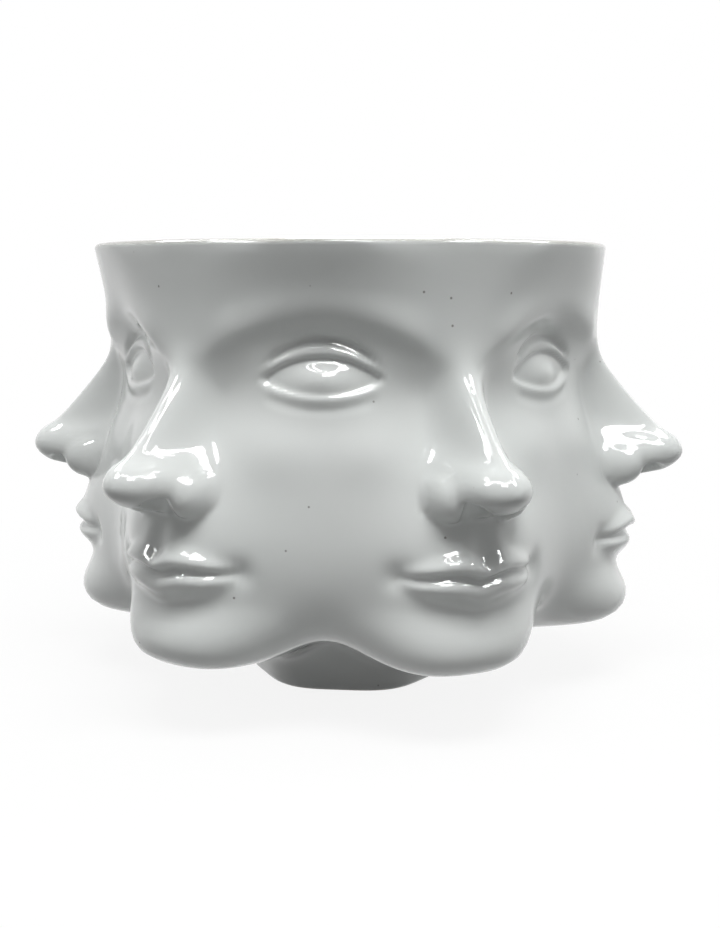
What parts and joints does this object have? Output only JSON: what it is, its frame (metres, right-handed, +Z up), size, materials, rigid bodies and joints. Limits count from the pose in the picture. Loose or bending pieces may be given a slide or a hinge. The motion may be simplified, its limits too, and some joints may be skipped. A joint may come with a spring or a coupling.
{
  "type": "head planter",
  "caption": "Round glazed ceramic plant pot shaped as a ring of calm sculpted faces that share their eyes, with an open top, a lobed foot, a drain mesh, a stopper and foot pads.",
  "frame": {"origin": "on the table under the middle of the pot, at the bottom of the foot pads", "axes": "+Z up along the pot's axis, +X out through the middle of one face, -Y out through an eye that two faces share, which is the front in the picture"},
  "size_m": [0.305, 0.2662, 0.1995],
  "materials": {
    "glazed_stoneware": "glossy white glaze with sparse dark pinholes",
    "silicone": "matte grey silicone",
    "net_plastic": "matte black plastic mesh",
    "pad_silicone": "translucent white silicone"
  },
  "bodies": {
    "pot": {"planter_body": "glazed_stoneware", "foot_pad_1": "pad_silicone", "foot_pad_2": "pad_silicone", "foot_pad_3": "pad_silicone", "foot_pad_4": "pad_silicone", "foot_pad_5": "pad_silicone", "foot_pad_6": "pad_silicone"},
    "stopper": {"drain_plug": "silicone"},
    "mesh": {"drain_net": "net_plastic"}
  },
  "joints": [
    {"name": "plug_pull", "type": "slide", "parent": "pot", "child": "stopper", "axis": [0, 0, -1], "range_m": [0, 0.012]},
    {"name": "net_lift", "type": "slide", "parent": "pot", "child": "mesh", "axis": [0, 0, 1], "range_m": [0, 0.19]}
  ]
}
